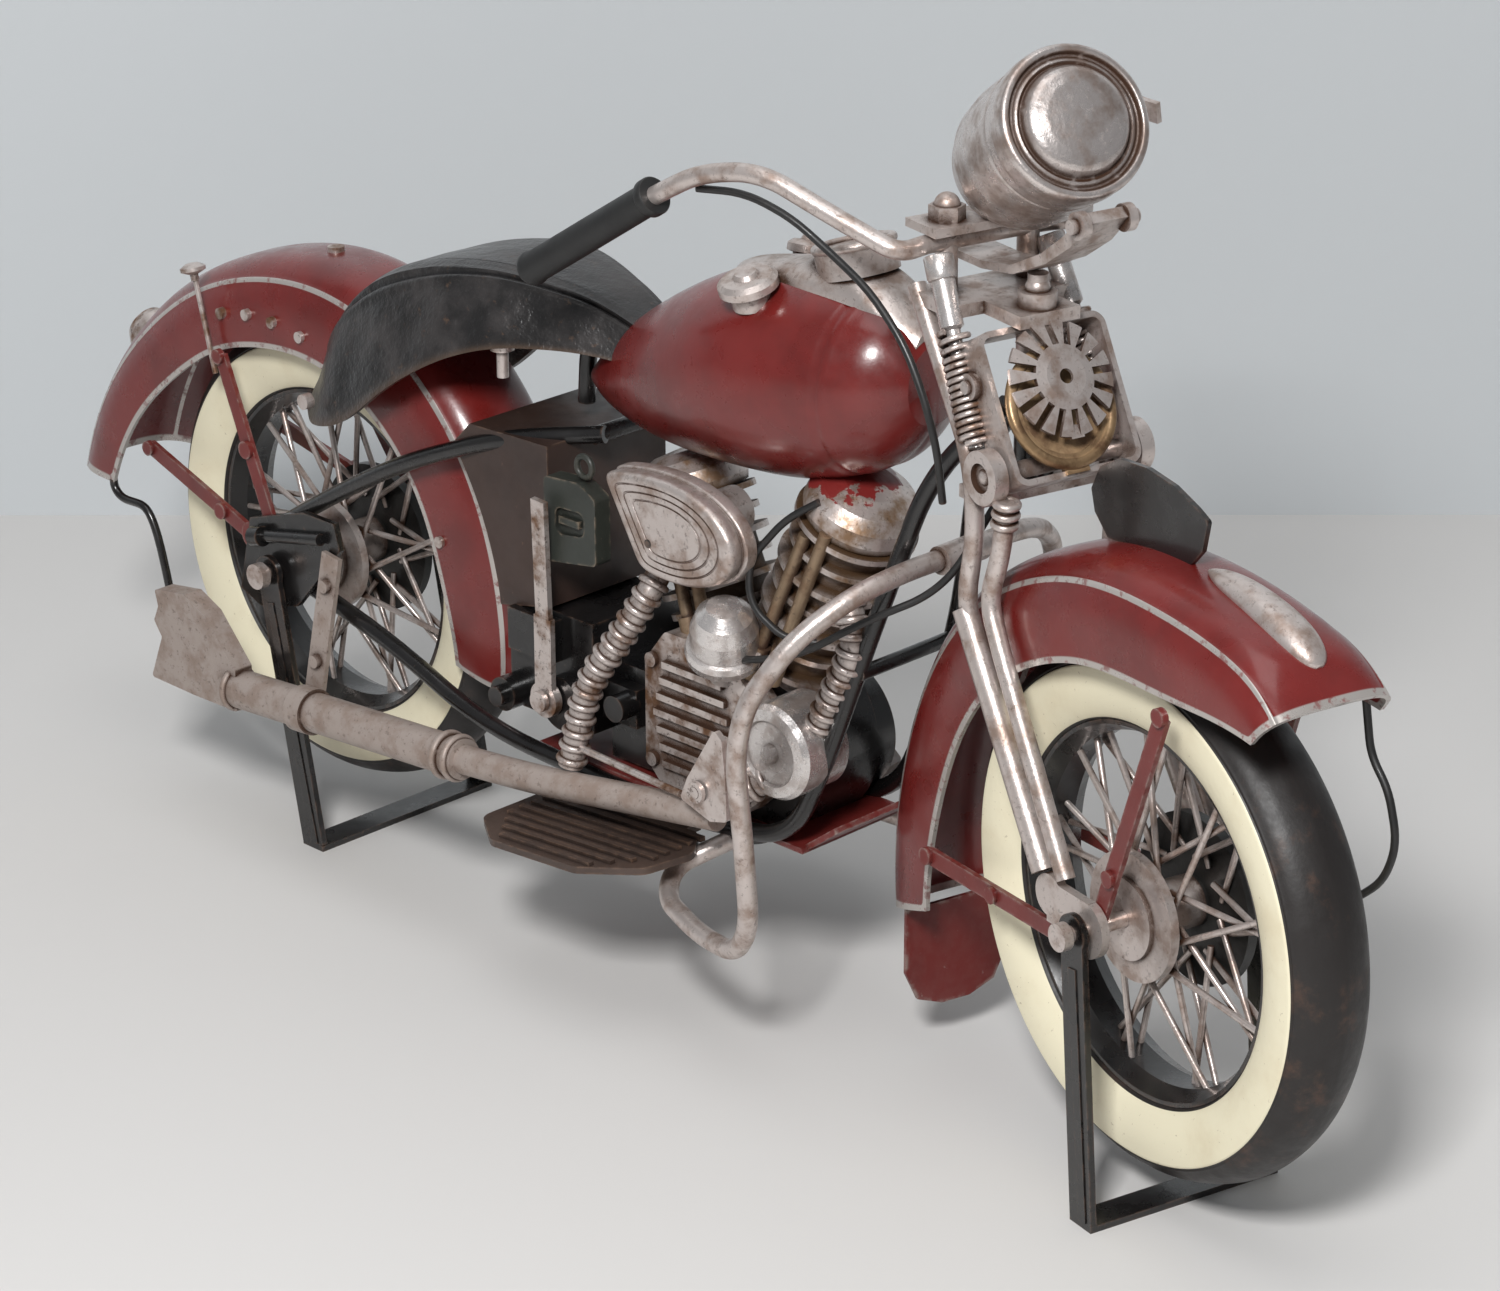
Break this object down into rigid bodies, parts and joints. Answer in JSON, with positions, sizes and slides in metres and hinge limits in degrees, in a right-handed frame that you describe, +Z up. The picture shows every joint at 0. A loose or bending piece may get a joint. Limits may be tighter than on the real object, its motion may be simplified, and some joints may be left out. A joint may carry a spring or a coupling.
{
  "type": "tin motorcycle",
  "caption": "Tin display motorcycle with a V engine, springer fork, whitewall tyres, saddle, crash bar and two wire stands that hold the wheels clear of the floor.",
  "frame": {"origin": "bottom centre of the bounding box, on the floor under the stands", "axes": "+X to the front wheel, +Y to the machine's left, +Z up"},
  "size_m": [0.4506, 0.1492, 0.2529],
  "materials": {
    "maroon_paint": "semi-gloss",
    "black_paint": "semi-gloss",
    "aged_silver": "satin",
    "brown_black_paint": "satin",
    "bronze_paint": "satin",
    "tyre_rubber": "matt",
    "seat_covering": "satin",
    "grip_black": "satin",
    "cable_black": "satin"
  },
  "bodies": {
    "frame": {"air_cleaner": "aged_silver", "axle_plates": "black_paint", "brake_linkage": "aged_silver", "cables": "cable_black", "crankcase": "black_paint", "crash_bar": "aged_silver", "cylinders": "aged_silver", "distributor": "aged_silver", "exhaust_pipe": "aged_silver", "fender_fittings": "aged_silver", "footboards": "black_paint", "fuel_tank": "maroon_paint", "gearbox": "black_paint", "generator": "aged_silver", "header_pipes": "aged_silver", "main_frame": "black_paint", "muffler": "aged_silver", "muffler_bracket": "aged_silver", "pushrod_tubes": "bronze_paint", "rear_axle": "aged_silver", "rear_clip": "black_paint", "rear_fender": "maroon_paint", "rear_fender_struts": "maroon_paint", "relay_box": "brown_black_paint", "saddle": "seat_covering", "saddle_bracket": "black_paint", "saddle_studs": "aged_silver", "side_panel": "brown_black_paint", "skid_plate": "maroon_paint", "tank_fittings": "aged_silver", "timing_cover": "aged_silver"},
    "steering": {"fork_rigid_legs": "aged_silver", "fork_spring_legs": "aged_silver", "fork_springs": "aged_silver", "fork_crown": "aged_silver", "front_axle": "aged_silver", "handlebar": "aged_silver", "grips": "grip_black", "hand_lever": "black_paint", "headlight": "aged_silver", "headlight_bracket": "aged_silver", "horn_bracket": "aged_silver", "horn": "bronze_paint", "front_fender": "maroon_paint", "front_fender_struts": "maroon_paint", "mudflap": "maroon_paint", "fender_plate": "black_paint", "fender_trim": "aged_silver", "steering_cables": "cable_black"},
    "front_wheel": {"front_tyre": "tyre_rubber", "front_rim": "black_paint", "front_hub_spokes": "aged_silver"},
    "rear_wheel": {"rear_tyre": "tyre_rubber", "rear_rim": "black_paint", "rear_hub_spokes": "aged_silver"},
    "front_stand_leg": {"front_stand": "black_paint"},
    "rear_stand_leg": {"rear_stand": "black_paint"},
    "kick_lever": {"kick_starter": "aged_silver"},
    "pedal": {"brake_pedal": "aged_silver"}
  },
  "joints": [
    {"name": "steering_turn", "type": "hinge", "parent": "frame", "child": "steering", "pos_m": [0.11122, -0.01786, 0.165], "axis": [0, 0, 1], "range_deg": [-8, 30]},
    {"name": "front_wheel_spin", "type": "hinge", "parent": "steering", "child": "front_wheel", "pos_m": [0.16405, -0.03044, 0.0696], "axis": [0.2317, 0.9728, 0], "continuous": true},
    {"name": "rear_wheel_spin", "type": "hinge", "parent": "frame", "child": "rear_wheel", "pos_m": [-0.12535, -0.01786, 0.0741], "axis": [0, 1, 0], "continuous": true},
    {"name": "front_stand_swing", "type": "hinge", "parent": "steering", "child": "front_stand_leg", "pos_m": [0.16405, -0.03044, 0.0696], "axis": [0.2317, 0.9728, 0], "range_deg": [0, 50]},
    {"name": "rear_stand_swing", "type": "hinge", "parent": "frame", "child": "rear_stand_leg", "pos_m": [-0.12535, -0.01786, 0.0741], "axis": [0, 1, 0], "range_deg": [0, 60]},
    {"name": "kick_lever_swing", "type": "hinge", "parent": "frame", "child": "kick_lever", "pos_m": [-0.02435, -0.04286, 0.067], "axis": [0, 1, 0], "range_deg": [-30, 4]},
    {"name": "pedal_swing", "type": "hinge", "parent": "frame", "child": "pedal", "pos_m": [0.04565, -0.05786, 0.0693], "axis": [0, 1, 0], "range_deg": [-5, 8]}
  ]
}
